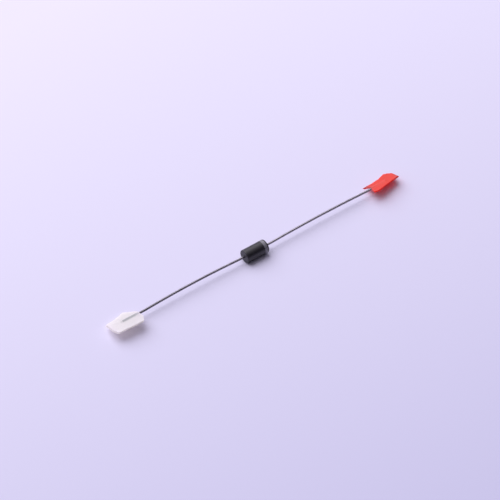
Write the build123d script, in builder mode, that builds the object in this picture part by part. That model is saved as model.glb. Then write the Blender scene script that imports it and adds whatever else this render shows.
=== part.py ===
from build123d import *

import os
from math import asin, atan, cos, degrees, hypot, radians, sin, sqrt

# A small moulded diode with axial leads, lying on a bench with a cut-off piece of
# its carrier tape on each lead: white on the anode side, red on the cathode side.
# +X runs along the leads from anode to cathode, -Y is the near side and +Z is up.
# The bench is z = 0, and the origin is on it below the middle of the body.

# Moulded body and its printed cathode band
body_diameter = 2.6
body_length = 4.75
body_edge_radius = 0.13
band_width = 0.6
band_inset = 0.14
ink_thickness = 0.02

# Silicon die, the solder on both its faces and the silicone around its edge
die_width = 0.95
die_thickness = 0.26
die_bevel = 0.09
solder_diameter = 1.0
solder_thickness = 0.06
coating_bulge = 0.13

# Leads: copper wire with an upset nail head inside the body
lead_diameter = 0.45
head_diameter = 1.5
head_thickness = 0.28
head_rim_bevel = 0.06
neck_diameter = 0.9
neck_length = 0.26
straight_past_body = 0.5
straight_before_tape = 0.4
anode_bow = 0.24
cathode_bow = 0.17
bow_lean = 32.0
end_bend_radius = 40.0

# Carrier tape: two strips stuck face to face, with the end of the lead between them
tape_gap = 52.0
film_thickness = 0.13
lead_in_tape = 3.8
drape_radius = 0.6
strip_slip = 0.12
anode_tape_tilt = 16.0

# The tabs as they were snipped, each as (distance outward from the tape's inner
# edge, distance across the lead), with the far side positive
anode_tab = [
    (0.0, -1.45),
    (0.75, -2.75),
    (6.15, -2.5),
    (6.5, -1.05),
    (6.4, 1.4),
    (3.3, 1.85),
    (2.0, 2.45),
    (0.0, 0.7),
]
cathode_tab_foot = (5.35, 2.8)
cathode_tab = [
    (0.05, -1.75),
    (0.85, -2.0),
    (6.3, -0.65),
    (6.35, 1.5),
    cathode_tab_foot,
    (3.4, 1.85),
    (-0.3, 1.5),
    (0.55, 0.8),
    (0.45, -0.35),
]

# Places that follow from the sizes above
body_radius = body_diameter / 2
lead_radius = lead_diameter / 2
axis_height = body_radius + ink_thickness
head_face = die_thickness / 2 + solder_thickness
straight_end = body_length / 2 + straight_past_body
lead_end = tape_gap / 2 + lead_in_tape
# The cathode tab leans over until the lower corner of its far edge meets the bench
foot_lean = asin(axis_height / hypot(cathode_tab_foot[1], film_thickness))
cathode_tape_tilt = degrees(foot_lean - atan(film_thickness / cathode_tab_foot[1]))

lead_axis = Axis((0, 0, axis_height), (1, 0, 0))
axial = Plane(origin=(0, 0, axis_height), x_dir=(1, 0, 0), z_dir=(0, -1, 0))
bow_plane = axial.rotated((-bow_lean, 0, 0))


# The die is a square chip with bevelled edges, thinner at the cathode face
anode_face = Plane(origin=(-die_thickness / 2, 0, axis_height), x_dir=(0, 1, 0), z_dir=(1, 0, 0))
with BuildPart() as silicon_die:
    with BuildSketch(anode_face):
        Rectangle(die_width, die_width)
    extrude(amount=die_thickness)
    chamfer(silicon_die.faces().sort_by(Axis.X)[-1].edges(), die_bevel)


# Each solder film wets its whole disc, from the die's face to the nail head
def solder_film(side):
    inner = side * die_thickness / 2
    with BuildPart() as film:
        with BuildSketch(Plane(origin=(inner, 0, axis_height), z_dir=(side, 0, 0))):
            Circle(solder_diameter / 2)
        extrude(amount=solder_thickness)
    return film.part


with BuildPart() as anode_solder:
    add(solder_film(-1))

with BuildPart() as cathode_solder:
    add(solder_film(1))


# The silicone fills the slot between the nail heads and bulges at its rim
with BuildPart() as junction_coating:
    with BuildSketch(axial):
        with BuildLine():
            rim = head_diameter / 2 - head_rim_bevel
            Polyline((-head_face, rim), (-head_face, 0), (head_face, 0), (head_face, rim))
            ThreePointArc((head_face, rim), (0, rim + coating_bulge), (-head_face, rim))
        make_face()
    revolve(axis=lead_axis)
    add(silicon_die.part, mode=Mode.SUBTRACT)
    add(anode_solder.part, mode=Mode.SUBTRACT)
    add(cathode_solder.part, mode=Mode.SUBTRACT)


# A lead is upset into a nail head, then runs straight out of the body, over one
# shallow bow from handling, up and to the far side, and straight into the tape
def bowed_lead(bow):
    span = tape_gap / 2 - straight_before_tape - straight_end
    slope = 2 * atan(2 * bow / span)
    bow_radius = span / (2 * sin(slope)) - end_bend_radius
    neck_start = head_face + head_thickness
    with BuildPart() as lead:
        with BuildSketch(axial) as head:
            with BuildLine():
                Polyline(
                    (head_face, 0),
                    (head_face, head_diameter / 2),
                    (neck_start, head_diameter / 2),
                    (neck_start, neck_diameter / 2),
                    (neck_start + neck_length, lead_radius),
                    (straight_end, lead_radius),
                    (straight_end, 0),
                    close=True,
                )
            make_face()
            chamfer(head.vertices().group_by(Axis.Y)[-1], head_rim_bevel)
        revolve(axis=lead_axis)
        with BuildLine(bow_plane) as route:
            rise = JernArc((straight_end, 0), (1, 0), end_bend_radius, degrees(slope))
            arch = JernArc(rise @ 1, rise % 1, bow_radius, -2 * degrees(slope))
            fall = JernArc(arch @ 1, arch % 1, end_bend_radius, degrees(slope))
            Line(fall @ 1, (lead_end, 0))
        with BuildSketch(Plane(origin=route.line @ 0, z_dir=(1, 0, 0))):
            Circle(lead_radius)
        sweep(path=route.line)
    return lead.part


with BuildPart() as anode_lead:
    add(bowed_lead(anode_bow).mirror(Plane.YZ))

with BuildPart() as cathode_lead:
    add(bowed_lead(cathode_bow))


# The body is moulded around the heads and the junction, so it holds their form
with BuildPart() as moulded_body:
    with BuildSketch(axial) as half_section:
        with Locations((0, body_radius / 2)):
            Rectangle(body_length, body_radius)
        fillet(half_section.vertices().group_by(Axis.Y)[-1], body_edge_radius)
    revolve(axis=lead_axis)
    for lead in (anode_lead, cathode_lead):
        add(lead.part, mode=Mode.SUBTRACT)
    for junction_piece in (silicon_die, anode_solder, cathode_solder, junction_coating):
        add(junction_piece.part, mode=Mode.SUBTRACT)


# The band is ink printed round the body, up to its rounded cathode edge
with BuildPart() as cathode_band:
    band_middle = body_length / 2 - body_edge_radius - band_inset - band_width / 2
    with BuildSketch(axial):
        with Locations((band_middle, body_radius + ink_thickness / 2)):
            Rectangle(band_width, ink_thickness)
    revolve(axis=lead_axis)


# Half the section of a strip where it drapes over the wire: a crest that hugs the
# wire, then a reverse curve down to the plane where the two strips meet
foot_width = sqrt(lead_radius**2 + 2 * lead_radius * drape_radius)
crest_angle = degrees(atan(foot_width / drape_radius))
foot = (foot_width, drape_radius)
with BuildSketch() as half_drape:
    with BuildLine():
        under_crest = CenterArc((0, 0), lead_radius, 90 - crest_angle, crest_angle)
        CenterArc(foot, drape_radius, 270 - crest_angle, crest_angle)
        Line((foot_width, 0), (foot_width, film_thickness))
        CenterArc(foot, drape_radius - film_thickness, 270 - crest_angle, crest_angle)
        over_crest = CenterArc((0, 0), lead_radius + film_thickness, 90 - crest_angle, crest_angle)
        Line(under_crest @ 1, over_crest @ 1)
    make_face()


# One strip of a tab. side is the end of the part it is on, -1 anode or 1 cathode,
# and layer is its side of the wire, 1 above or -1 below
def tape_strip(side, layer, tab, tilt):
    lean = radians(tilt)
    strip = Plane(
        origin=(side * tape_gap / 2, 0, axis_height),
        x_dir=(side, 0, 0),
        z_dir=(0, layer * sin(lean), layer * cos(lean)),
    )
    slip = strip_slip if layer < 0 else 0
    outline = [(out + slip, side * layer * across) for out, across in tab]
    run_in = 1.0
    entry_point = strip.from_local_coords((-run_in, 0, 0))
    wire_entry = Plane(origin=entry_point, x_dir=strip.y_dir, z_dir=strip.x_dir)
    end_point = strip.from_local_coords((lead_in_tape, 0, 0))
    wire_end = Plane(origin=end_point, x_dir=strip.y_dir, z_dir=strip.x_dir)
    with BuildPart() as film:
        # the ridge over the wire, and the dome that closes it past the wire's end
        with BuildSketch(wire_entry):
            add(half_drape.sketch)
            mirror(about=Plane.YZ)
        extrude(amount=run_in + lead_in_tape)
        with BuildSketch(wire_end):
            add(half_drape.sketch)
        revolve(axis=Axis(wire_end.origin, -strip.z_dir), revolution_arc=180)
        with BuildSketch(strip):
            with BuildLine():
                Polyline(*outline, close=True)
            make_face()
        extrude(amount=body_diameter, both=True, mode=Mode.INTERSECT)
        # the flat of the strip on both sides of the ridge
        with BuildSketch(strip):
            with BuildLine():
                Polyline(*outline, close=True)
            make_face()
            with Locations(((lead_in_tape - run_in) / 2, 0)):
                Rectangle(lead_in_tape + run_in, 2 * foot_width, mode=Mode.SUBTRACT)
            with Locations((lead_in_tape, 0)):
                Circle(foot_width, mode=Mode.SUBTRACT)
        extrude(amount=film_thickness)
    return film.part


with BuildPart() as anode_tape_upper:
    add(tape_strip(-1, 1, anode_tab, anode_tape_tilt))

with BuildPart() as anode_tape_lower:
    add(tape_strip(-1, -1, anode_tab, anode_tape_tilt))

with BuildPart() as cathode_tape_upper:
    add(tape_strip(1, 1, cathode_tab, cathode_tape_tilt))

with BuildPart() as cathode_tape_lower:
    add(tape_strip(1, -1, cathode_tab, cathode_tape_tilt))


pieces = {
    "moulded_body": moulded_body,
    "cathode_band": cathode_band,
    "anode_lead": anode_lead,
    "cathode_lead": cathode_lead,
    "silicon_die": silicon_die,
    "anode_solder": anode_solder,
    "cathode_solder": cathode_solder,
    "junction_coating": junction_coating,
    "anode_tape_upper": anode_tape_upper,
    "anode_tape_lower": anode_tape_lower,
    "cathode_tape_upper": cathode_tape_upper,
    "cathode_tape_lower": cathode_tape_lower,
}

os.makedirs("parts", exist_ok=True)
for label, piece in pieces.items():
    piece.part.label = label
    export_step(piece.part, f"parts/{label}.step")
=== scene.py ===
from math import asin, atan, cos, hypot, radians, sin, sqrt

import bmesh
import bpy
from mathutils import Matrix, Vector, noise


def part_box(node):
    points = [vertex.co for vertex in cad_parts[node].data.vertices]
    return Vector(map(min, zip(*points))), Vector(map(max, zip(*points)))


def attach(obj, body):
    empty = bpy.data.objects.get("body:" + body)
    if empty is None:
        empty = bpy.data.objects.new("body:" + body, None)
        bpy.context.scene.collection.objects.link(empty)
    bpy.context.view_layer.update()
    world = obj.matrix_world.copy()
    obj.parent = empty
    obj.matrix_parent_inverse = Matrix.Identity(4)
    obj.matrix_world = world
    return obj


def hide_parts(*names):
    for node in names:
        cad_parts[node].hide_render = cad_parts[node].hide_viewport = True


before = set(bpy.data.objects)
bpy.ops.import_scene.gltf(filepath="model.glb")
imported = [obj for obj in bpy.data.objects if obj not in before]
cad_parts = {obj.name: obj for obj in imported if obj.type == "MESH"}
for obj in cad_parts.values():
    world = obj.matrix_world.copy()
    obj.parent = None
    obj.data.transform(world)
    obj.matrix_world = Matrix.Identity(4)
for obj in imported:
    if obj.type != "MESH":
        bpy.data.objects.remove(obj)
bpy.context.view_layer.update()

# The lead's centre line is the axis of the whole part, and every piece is placed from it.
# Lengths are in metres, written as millimetres times mm. Only the tape is drawn in plain
# millimetres, and its mesh is scaled once it is made.
mm = 0.001
axis_height = (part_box("cathode_band")[0].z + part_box("cathode_band")[1].z) / 2

# The camera stands far off with a long lens, in front and to the anode side, so that the leads
# run up to the right and keep one scale from end to end, 90.9 mm across the picture. It aims a
# little above the middle of the body and to its left.
azimuth = radians(36.55)
elevation = radians(46.2)
camera_distance = 1.5
aim_left = 0.873 * mm
aim_up = 0.236 * mm
to_camera = Vector((-sin(azimuth) * cos(elevation), -cos(azimuth) * cos(elevation), sin(elevation)))
to_right = Vector((cos(azimuth), -sin(azimuth), 0))
to_top = to_camera.cross(to_right)
aim = Vector((0, 0, axis_height)) - aim_left * to_right + aim_up * to_top
camera = bpy.data.objects.new("camera", bpy.data.cameras.new("camera"))
camera.data.sensor_width = 36
camera.data.lens = 594
camera.data.clip_start = 0.1
camera.location = aim + camera_distance * to_camera
camera.rotation_euler = to_camera.to_track_quat("Z", "Y").to_euler()
bpy.context.scene.collection.objects.link(camera)
bpy.context.scene.camera = camera
bpy.context.scene.view_settings.view_transform = "Standard"

# The floor is a sheet of smooth lilac card. Its colour carries painted light, paler towards the
# window side at the back. It is part of the setting and not of the diode, and lies a hair below the
# part.
floor_size = 1.6
below_part = 0.01 * mm
floor_mesh = bmesh.new()
bmesh.ops.create_grid(floor_mesh, x_segments=8, y_segments=8, size=floor_size)
bmesh.ops.translate(floor_mesh, verts=floor_mesh.verts, vec=(0, 0, -below_part))
floor = bpy.data.objects.new("floor", bpy.data.meshes.new("floor"))
floor_mesh.to_mesh(floor.data)
floor_mesh.free()
bpy.context.scene.collection.objects.link(floor)
card = bpy.data.materials.new("lilac_card")
card.use_nodes = True
nodes = card.node_tree.nodes
links = card.node_tree.links
surface = nodes["Principled BSDF"]
surface.inputs["Roughness"].default_value = 0.9
surface.inputs["Specular IOR Level"].default_value = 0.1
place = nodes.new("ShaderNodeTexCoord")
across_card = nodes.new("ShaderNodeVectorMath")
across_card.operation = "DOT_PRODUCT"
across_card.inputs[1].default_value = (0.07, 1, 0)
links.new(place.outputs["Object"], across_card.inputs[0])
# Painted light: the card's colour runs from darker at the front to paler at the back.
painted_light_fall = nodes.new("ShaderNodeMapRange")
painted_light_fall.inputs["From Min"].default_value = -75 * mm
painted_light_fall.inputs["From Max"].default_value = 75 * mm
links.new(across_card.outputs["Value"], painted_light_fall.inputs["Value"])
painted_light_ramp = nodes.new("ShaderNodeValToRGB")
painted_light_ramp.color_ramp.elements[0].color = (0.575, 0.563, 0.76, 1)
painted_light_ramp.color_ramp.elements[1].color = (0.83, 0.80, 0.945, 1)
links.new(painted_light_fall.outputs["Result"], painted_light_ramp.inputs["Fac"])
links.new(painted_light_ramp.outputs["Color"], surface.inputs["Base Color"])
floor.data.materials.append(card)

# One large soft lamp stands on the far side and a little to the anode end, 39 degrees from
# overhead. The pale room fills the shadows, and is darkest low down on the near side.
to_lamp = Vector((-0.12, 0.61, 0.78)).normalized()
lamp_distance = 2.0
lamp = bpy.data.objects.new("softbox", bpy.data.lights.new("softbox", "AREA"))
lamp.data.shape = "DISK"
lamp.data.size = 2.6
lamp.data.energy = 45
lamp.data.color = (0.96, 0.945, 1.0)
lamp.location = lamp_distance * to_lamp
lamp.rotation_euler = to_lamp.to_track_quat("Z", "Y").to_euler()
bpy.context.scene.collection.objects.link(lamp)
room = bpy.data.worlds.new("room")
room.use_nodes = True
bpy.context.scene.world = room
nodes = room.node_tree.nodes
links = room.node_tree.links
direction = nodes.new("ShaderNodeTexCoord")
towards_window = nodes.new("ShaderNodeVectorMath")
towards_window.operation = "DOT_PRODUCT"
towards_window.inputs[1].default_value = (-0.15, 0.55, 0.82)
links.new(direction.outputs["Generated"], towards_window.inputs[0])
glow = nodes.new("ShaderNodeMapRange")
glow.interpolation_type = "SMOOTHSTEP"
glow.inputs["To Min"].default_value = 0.012
glow.inputs["To Max"].default_value = 0.825
links.new(towards_window.outputs["Value"], glow.inputs["Value"])
nodes["Background"].inputs["Color"].default_value = (0.94, 0.88, 1.0, 1)
links.new(glow.outputs["Result"], nodes["Background"].inputs["Strength"])


# The body is a cylinder of black filled epoxy, moulded in two halves round the leads and the
# chip. It has a satin skin with a fine grain, and a faint flash line where the halves met.
def finish_of(name, dark, pale, scale, smooth, rough):
    material = bpy.data.materials.new(name)
    material.use_nodes = True
    nodes = material.node_tree.nodes
    links = material.node_tree.links
    shader = nodes["Principled BSDF"]
    spot = nodes.new("ShaderNodeTexCoord").outputs["Object"]
    cloud = nodes.new("ShaderNodeTexNoise")
    cloud.inputs["Scale"].default_value = scale
    cloud.inputs["Detail"].default_value = 5
    links.new(spot, cloud.inputs["Vector"])
    tint = nodes.new("ShaderNodeMix")
    tint.data_type = "RGBA"
    tint.inputs["A"].default_value = (*dark, 1)
    tint.inputs["B"].default_value = (*pale, 1)
    links.new(cloud.outputs["Fac"], tint.inputs["Factor"])
    links.new(tint.outputs["Result"], shader.inputs["Base Color"])
    sheen = nodes.new("ShaderNodeMapRange")
    sheen.inputs["To Min"].default_value = smooth
    sheen.inputs["To Max"].default_value = rough
    links.new(cloud.outputs["Fac"], sheen.inputs["Value"])
    links.new(sheen.outputs["Result"], shader.inputs["Roughness"])
    return material, nodes, links, shader, spot


def raise_grain(nodes, links, shader, spot, scale, depth, stretch=1):
    pull = nodes.new("ShaderNodeMapping")
    pull.inputs["Scale"].default_value = (1 / stretch, 1, 1)
    links.new(spot, pull.inputs["Vector"])
    grain = nodes.new("ShaderNodeTexNoise")
    grain.inputs["Scale"].default_value = scale
    grain.inputs["Detail"].default_value = 3
    links.new(pull.outputs["Vector"], grain.inputs["Vector"])
    bump = nodes.new("ShaderNodeBump")
    bump.inputs["Strength"].default_value = 0.5
    bump.inputs["Distance"].default_value = depth
    links.new(grain.outputs["Fac"], bump.inputs["Height"])
    links.new(bump.outputs["Normal"], shader.inputs["Normal"])
    return bump


def coat(material, *solids):
    for solid in solids:
        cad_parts[solid].data.materials.clear()
        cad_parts[solid].data.materials.append(material)


epoxy, nodes, links, shader, spot = finish_of(
    "moulded_epoxy",
    dark=(0.005, 0.004, 0.008),
    pale=(0.011, 0.010, 0.015),
    scale=1400,
    smooth=0.40,
    rough=0.50,
)
shader.inputs["Specular IOR Level"].default_value = 0.68
skin = raise_grain(nodes, links, shader, spot, scale=16000, depth=0.012 * mm)
height = nodes.new("ShaderNodeSeparateXYZ")
links.new(spot, height.inputs["Vector"])
above = nodes.new("ShaderNodeMath")
above.operation = "SUBTRACT"
above.inputs[1].default_value = axis_height
links.new(height.outputs["Z"], above.inputs[0])
apart = nodes.new("ShaderNodeMath")
apart.operation = "ABSOLUTE"
links.new(above.outputs["Value"], apart.inputs[0])
flash = nodes.new("ShaderNodeMapRange")
flash.interpolation_type = "SMOOTHSTEP"
flash.inputs["From Min"].default_value = 0.01 * mm
flash.inputs["From Max"].default_value = 0.04 * mm
flash.inputs["To Min"].default_value = 1
flash.inputs["To Max"].default_value = 0
links.new(apart.outputs["Value"], flash.inputs["Value"])
seam = nodes.new("ShaderNodeBump")
seam.inputs["Strength"].default_value = 0.7
seam.inputs["Distance"].default_value = 0.015 * mm
links.new(flash.outputs["Result"], seam.inputs["Height"])
links.new(skin.outputs["Normal"], seam.inputs["Normal"])
links.new(seam.outputs["Normal"], shader.inputs["Normal"])
coat(epoxy, "moulded_body")

# The cathode band is silver-grey ink, rolled on round the body and cured. It is a thin, slightly
# uneven coat.
ink, nodes, links, shader, spot = finish_of(
    "silver_ink",
    dark=(0.16, 0.158, 0.18),
    pale=(0.225, 0.222, 0.25),
    scale=3000,
    smooth=0.26,
    rough=0.34,
)
shader.inputs["Specular IOR Level"].default_value = 0.6
raise_grain(nodes, links, shader, spot, scale=20000, depth=0.004 * mm)
coat(ink, "cathode_band")

# The leads are drawn copper wire with bright tin plating and fine drawing lines. The tin is a
# little darker on the anode lead, and along each lead its colour carries painted shade and light:
# darker towards the anode's tape and a little brighter towards the cathode's tape.
tape_edge = 26
for lead, side, dull_tin, bright_tin, painted_shading_at_tape in (
    ("anode_lead", -1, (0.27, 0.255, 0.285), (0.39, 0.37, 0.405), 0.70),
    ("cathode_lead", 1, (0.31, 0.295, 0.325), (0.44, 0.415, 0.455), 1.10),
):
    tin, nodes, links, shader, spot = finish_of(
        f"tin_on_{lead}", dark=dull_tin, pale=bright_tin, scale=900, smooth=0.16, rough=0.34
    )
    shader.inputs["Metallic"].default_value = 1
    plating = shader.inputs["Base Color"].links[0].from_socket
    place = nodes.new("ShaderNodeSeparateXYZ")
    links.new(spot, place.inputs["Vector"])
    # Painted shade and light: the plating's colour is scaled darker towards the anode's tape and
    # brighter towards the cathode's tape.
    shading_ramp_to_tape = nodes.new("ShaderNodeMapRange")
    shading_ramp_to_tape.inputs["From Min"].default_value = 0.3 * side * tape_edge * mm
    shading_ramp_to_tape.inputs["From Max"].default_value = 0.9 * side * tape_edge * mm
    shading_ramp_to_tape.inputs["To Min"].default_value = 1
    shading_ramp_to_tape.inputs["To Max"].default_value = painted_shading_at_tape
    links.new(place.outputs["X"], shading_ramp_to_tape.inputs["Value"])
    shaded_plating = nodes.new("ShaderNodeVectorMath")
    shaded_plating.operation = "SCALE"
    links.new(plating, shaded_plating.inputs[0])
    links.new(shading_ramp_to_tape.outputs["Result"], shaded_plating.inputs["Scale"])
    links.new(shaded_plating.outputs["Vector"], shader.inputs["Base Color"])
    raise_grain(nodes, links, shader, spot, scale=40000, depth=0.0015 * mm, stretch=60)
    coat(tin, lead)

# Sealed in the body, the chip of polished silicon sits between two solder films, and milky
# silicone was run round its edge before the epoxy went on.
silicon, nodes, links, shader, spot = finish_of(
    "polished_silicon",
    dark=(0.13, 0.14, 0.17),
    pale=(0.18, 0.19, 0.225),
    scale=2500,
    smooth=0.10,
    rough=0.22,
)
coat(silicon, "silicon_die")
solder, nodes, links, shader, spot = finish_of(
    "dull_solder",
    dark=(0.48, 0.48, 0.50),
    pale=(0.62, 0.62, 0.64),
    scale=6000,
    smooth=0.35,
    rough=0.55,
)
shader.inputs["Metallic"].default_value = 1
raise_grain(nodes, links, shader, spot, scale=18000, depth=0.01 * mm)
coat(solder, "anode_solder", "cathode_solder")
silicone, nodes, links, shader, spot = finish_of(
    "milky_silicone",
    dark=(0.71, 0.70, 0.66),
    pale=(0.79, 0.78, 0.74),
    scale=3500,
    smooth=0.28,
    rough=0.42,
)
raise_grain(nodes, links, shader, spot, scale=5000, depth=0.008 * mm)
coat(silicone, "junction_coating")

# The carrier tape is thin crepe paper with a rubber adhesive, two strips to a tab, stuck face to
# face over the end of the wire. Each strip was snipped from the reel, hugs the wire in a domed
# ridge, and has fine crepe ridges along the wire. Out and across are as they lie on the strip.
film_thickness = 0.13
lead_radius = 0.225
drape_radius = 0.6
strip_slip = 0.12
lead_in_tape = 3.8
foot_width = sqrt(lead_radius**2 + 2 * lead_radius * drape_radius)
crest_angle = atan(foot_width / drape_radius)
adhesive_gap = 0.001
bench_gap = 0.002


def drape(out, across):
    away = abs(across) if out <= lead_in_tape else hypot(out - lead_in_tape, across)
    if away < lead_radius * sin(crest_angle):
        return sqrt(lead_radius**2 - away**2)
    if away < foot_width:
        return drape_radius - sqrt(drape_radius**2 - (foot_width - away) ** 2)
    return 0


# The sheet is cut finely across the wire, where the crepe ridges follow each other, and less
# finely along it. It curls most at its free sides, away from where the wire holds it. The
# near_wire mask, which darkens the paper over the wire with painted shade and lets less light
# through there, is shifted a little to the near side of the wire.
inner_reach = 0.5
side_reach = 2.9
cut_length = 0.14
cut_width = 0.055
cuts_along = 56
cuts_across = 107
curl_height = 0.05
curl_reach = 1.2
smooth_share = 0.86
crepe_share = 0.3
ragged_width = 0.03
shade_shift_to_near_side = 0.1
crease = radians(50)


def paper_strip(name, side, layer, tab, tilt, seed, paper):
    slip = strip_slip if layer < 0 else 0
    sheet = bmesh.new()
    near_wire = sheet.verts.layers.float.new("near_wire")
    sheet.faces.new([sheet.verts.new((out + slip, across, 0)) for out, across in tab])
    cuts = [((step * cut_length - inner_reach, 0, 0), (1, 0, 0)) for step in range(cuts_along)]
    cuts += [((0, step * cut_width - side_reach, 0), (0, 1, 0)) for step in range(cuts_across)]
    for middle, across_cut in cuts:
        whole = sheet.verts[:] + sheet.edges[:] + sheet.faces[:]
        bmesh.ops.bisect_plane(sheet, geom=whole, dist=0.004, plane_co=middle, plane_no=across_cut)
    base = list(sheet.verts)
    plan = {vertex: (vertex.co.x, vertex.co.y) for vertex in base}
    sticky = sheet.faces[:]
    raised = bmesh.ops.extrude_face_region(sheet, geom=sheet.faces[:])["geom"]
    outer = [piece for piece in raised if isinstance(piece, bmesh.types.BMVert)]
    for vertex in outer:
        plan[vertex] = (vertex.co.x, vertex.co.y)
    for vertices, thickness in ((base, 0), (outer, film_thickness)):
        for vertex in vertices:
            out, across = plan[vertex]
            free = min(1, (across / curl_reach) ** 2)
            curl = curl_height * free * noise.noise(Vector((0.35 * out, 0.5 * across, side * 7)))
            crepe = 0.5 + noise.fractal(Vector((0.8 * out, 6.5 * across, seed)), 0.8, 2.1, 3)
            lift = drape(out, across) + adhesive_gap + layer * curl
            lift += thickness * (smooth_share + crepe_share * crepe)
            ragged = ragged_width * noise.noise(Vector((3 * out, 3 * across, seed + 5)))
            height = across * -sin(tilt) + layer * lift * cos(tilt) + axis_height / mm
            vertex.co = (
                side * (tape_edge + out + ragged),
                (across + ragged) * cos(tilt) + layer * lift * sin(tilt),
                max(height, bench_gap),
            )
            # The mask for the painted shade over the wire, shifted a little to the near side of the
            # wire.
            wire_shade_mask = drape(out, across + shade_shift_to_near_side) / lead_radius
            vertex[near_wire] = 1 - (1 - wire_shade_mask) ** 2 if out < lead_in_tape else 0
    bmesh.ops.scale(sheet, verts=sheet.verts, vec=(mm, mm, mm))
    bmesh.ops.recalc_face_normals(sheet, faces=sheet.faces)
    for edge in sheet.edges:
        edge.smooth = edge.calc_face_angle(0) < crease
    for face in sheet.faces:
        face.smooth = True
    for face in sticky:
        face.material_index = 1
    strip = bpy.data.objects.new(f"paper_{name}", bpy.data.meshes.new(f"paper_{name}"))
    sheet.to_mesh(strip.data)
    sheet.free()
    bpy.context.scene.collection.objects.link(strip)
    strip.data.materials.append(paper)
    strip.data.materials.append(adhesive)
    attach(strip, "root")
    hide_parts(name)


# The paper is mottled, darkened over the wire with painted shade, and darker towards its two
# snipped ends. Light comes through it, and less where the wire fills it.
def crepe_paper(name, shaded, dry, painted_shade_over_wire, end_colour, outward, glow, share):
    paper, nodes, links, shader, spot = finish_of(
        name, dark=shaded, pale=dry, scale=800, smooth=0.80, rough=0.90
    )
    mottle = shader.inputs["Base Color"].links[0].from_socket
    shader.inputs["Specular IOR Level"].default_value = 0.25
    # Painted shade: over the wire the paper's colour is darkened, standing in for the shade of the
    # ridge and for the wire seen through the paper. The same mask lets less light through there.
    wire_mask = nodes.new("ShaderNodeAttribute")
    wire_mask.attribute_name = "near_wire"
    painted_wire_shade = nodes.new("ShaderNodeMix")
    painted_wire_shade.data_type = "RGBA"
    painted_wire_shade.inputs["B"].default_value = (*painted_shade_over_wire, 1)
    links.new(wire_mask.outputs["Fac"], painted_wire_shade.inputs["Factor"])
    links.new(mottle, painted_wire_shade.inputs["A"])
    # Towards both snipped ends the paper's colour is blended towards a darker end colour.
    along = nodes.new("ShaderNodeVectorMath")
    along.operation = "DOT_PRODUCT"
    along.inputs[1].default_value = outward
    links.new(spot, along.inputs[0])
    ends = nodes.new("ShaderNodeMapRange")
    ends.inputs["From Min"].default_value = 25 * mm
    ends.inputs["From Max"].default_value = 32.8 * mm
    links.new(along.outputs["Value"], ends.inputs["Value"])
    end_ramp = nodes.new("ShaderNodeValToRGB")
    stops = end_ramp.color_ramp.elements
    stops[0].color = (1, 1, 1, 1)
    for stop, end_share in ((0.10, 0.8), (0.27, 0), (0.84, 0)):
        stops.new(stop).color = (end_share, end_share, end_share, 1)
    links.new(ends.outputs["Result"], end_ramp.inputs["Fac"])
    end_tint = nodes.new("ShaderNodeMix")
    end_tint.data_type = "RGBA"
    end_tint.inputs["B"].default_value = (*end_colour, 1)
    links.new(end_ramp.outputs["Color"], end_tint.inputs["Factor"])
    links.new(painted_wire_shade.outputs["Result"], end_tint.inputs["A"])
    links.new(end_tint.outputs["Result"], shader.inputs["Base Color"])
    raise_grain(nodes, links, shader, spot, scale=12000, depth=0.024 * mm, stretch=4)
    through = nodes.new("ShaderNodeBsdfTranslucent")
    through.inputs["Color"].default_value = (*glow, 1)
    filled = nodes.new("ShaderNodeMapRange")
    filled.inputs["To Min"].default_value = share
    filled.inputs["To Max"].default_value = 0.3 * share
    links.new(wire_mask.outputs["Fac"], filled.inputs["Value"])
    thin = nodes.new("ShaderNodeMixShader")
    links.new(filled.outputs["Result"], thin.inputs["Fac"])
    links.new(shader.outputs["BSDF"], thin.inputs[1])
    links.new(through.outputs["BSDF"], thin.inputs[2])
    links.new(thin.outputs["Shader"], nodes["Material Output"].inputs["Surface"])
    return paper


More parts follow.
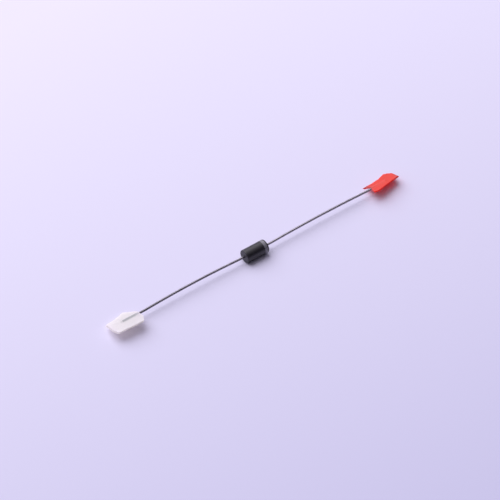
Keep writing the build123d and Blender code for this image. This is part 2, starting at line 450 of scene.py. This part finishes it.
# The adhesive is a clear rubber film on the inner face of each strip. It holds the two strips
# together round the wire, and lets nearly all the light through.
adhesive, nodes, links, shader, spot = finish_of(
    "rubber_adhesive",
    dark=(0.88, 0.86, 0.82),
    pale=(0.92, 0.90, 0.86),
    scale=1500,
    smooth=0.45,
    rough=0.6,
)
clear = nodes.new("ShaderNodeBsdfTranslucent")
clear.inputs["Color"].default_value = (1.0, 0.98, 0.94, 1)
gum = nodes.new("ShaderNodeMixShader")
gum.inputs["Fac"].default_value = 0.97
links.new(shader.outputs["BSDF"], gum.inputs[1])
links.new(clear.outputs["BSDF"], gum.inputs[2])
links.new(gum.outputs["Shader"], nodes["Material Output"].inputs["Surface"])

# The white tab is the tape on the anode lead, of bleached paper and snipped a little askew. It
# leans back, with its near side raised.
white_tab = [(0, -1.45), (0.75, -2.75), (6.15, -2.5), (6.5, -1.05)]
white_tab += [(6.4, 1.4), (3.3, 1.85), (2.0, 2.45), (0, 0.7)]
white_tilt = radians(16)
white_strips = (("anode_tape_upper", 1, 1, 0.48), ("anode_tape_lower", -1, 2, 0.95))
for strip, layer, seed, share in white_strips:
    white = crepe_paper(
        f"white_paper_{seed}",
        shaded=(0.96, 0.96, 0.96),
        dry=(0.99, 0.99, 0.99),
        painted_shade_over_wire=(0.55, 0.56, 0.57),
        end_colour=(0.90, 0.85, 0.92),
        outward=(-1, 0, 0),
        glow=(1.0, 0.98, 0.96),
        share=share,
    )
    paper_strip(strip, -1, layer, white_tab, white_tilt, seed, white)

# The red tab is the tape on the cathode lead, of paper dyed right through. It leans back further,
# until the corner of its far side meets the bench.
red_foot = (5.35, 2.8)
red_tab = [(0.05, -1.75), (0.85, -2), (6.3, -0.65), (6.35, 1.5), red_foot, (3.4, 1.85)]
red_tab += [(-0.3, 1.5), (0.55, 0.8), (0.45, -0.35)]
foot_reach = hypot(red_foot[1], film_thickness)
red_tilt = asin(axis_height / mm / foot_reach) - atan(film_thickness / red_foot[1])
red_strips = (("cathode_tape_upper", 1, 3, 0.5), ("cathode_tape_lower", -1, 4, 0.6))
for strip, layer, seed, share in red_strips:
    red = crepe_paper(
        f"red_paper_{seed}",
        shaded=(0.98, 0.14, 0.11),
        dry=(1.0, 0.17, 0.14),
        painted_shade_over_wire=(0.97, 0.13, 0.11),
        end_colour=(0.52, 0.22, 0.23),
        outward=(1, -0.5, 0),
        glow=(0.98, 0.02, 0.02),
        share=share,
    )
    paper_strip(strip, 1, layer, red_tab, red_tilt, seed, red)
